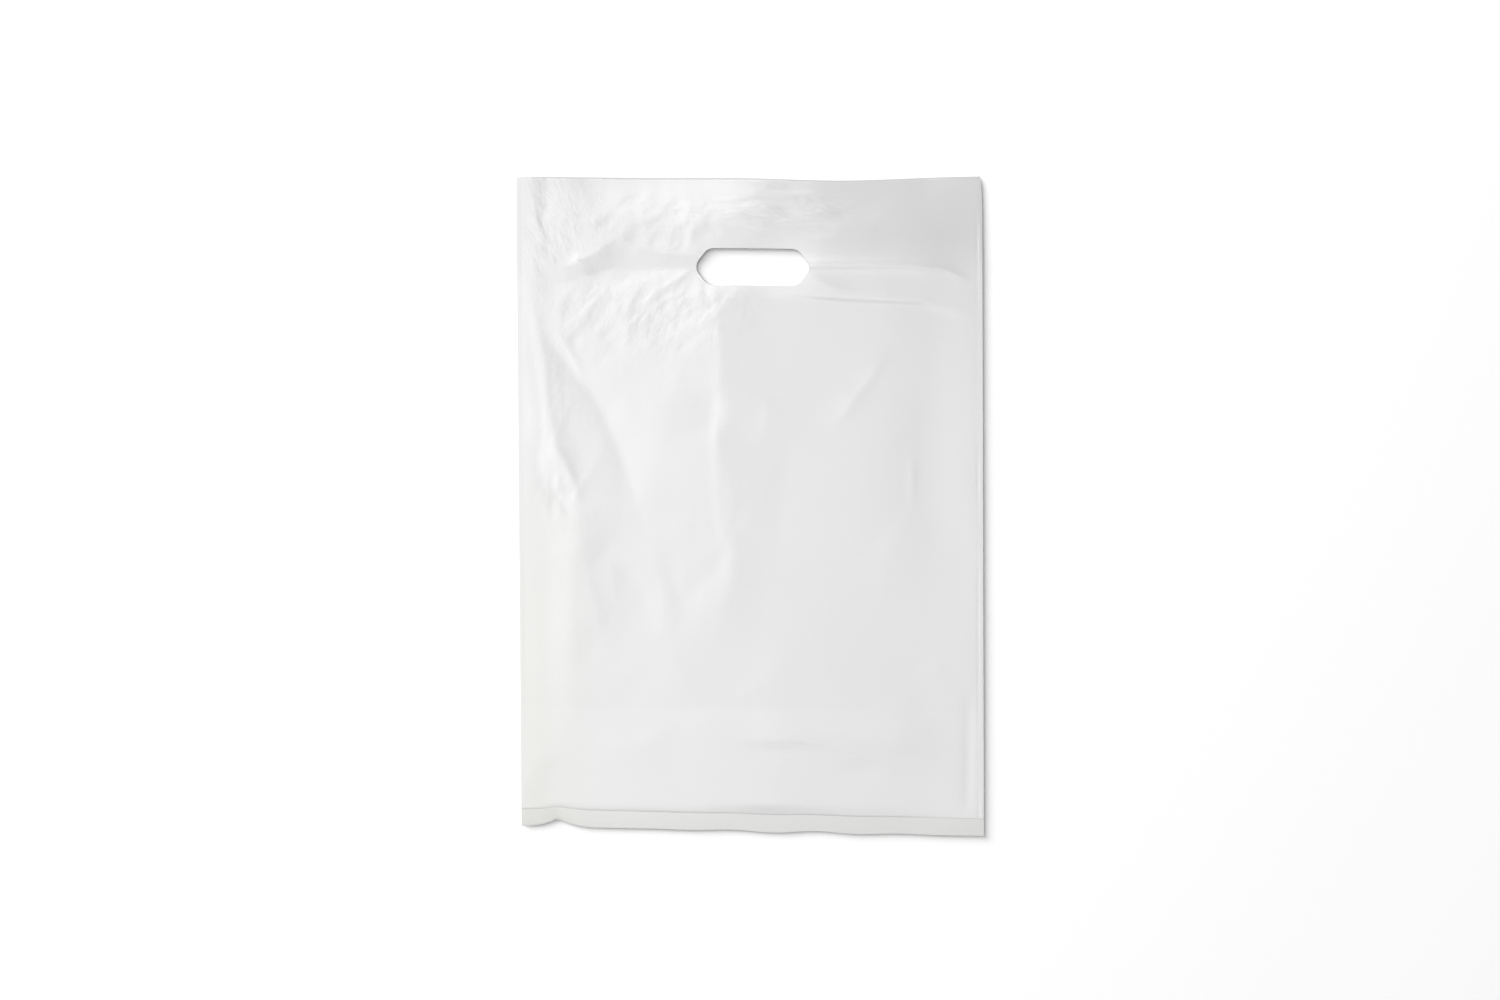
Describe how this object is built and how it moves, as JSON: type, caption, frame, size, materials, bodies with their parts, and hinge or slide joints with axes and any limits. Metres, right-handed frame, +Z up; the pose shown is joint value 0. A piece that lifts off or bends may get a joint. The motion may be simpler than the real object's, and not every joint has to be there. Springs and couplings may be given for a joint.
{
  "type": "plastic carrier bag",
  "caption": "Flat white polythene carrier bag lying on its back, with deep turned-in hems at the mouth, a punched hand hole, welded sides and a gusset folded into the bottom.",
  "frame": {"origin": "middle of the bag's outline, on the surface that its back panel lies on", "axes": "+X across the bag, +Y from the bottom towards the mouth, +Z up through the layers out of the front panel"},
  "size_m": [0.38, 0.538, 0.0063],
  "materials": {
    "film": "smooth white polythene film, softly glossy, faintly see-through, with fine creases"
  },
  "bodies": {
    "root": {"carrier_bag": "film"}
  },
  "joints": []
}
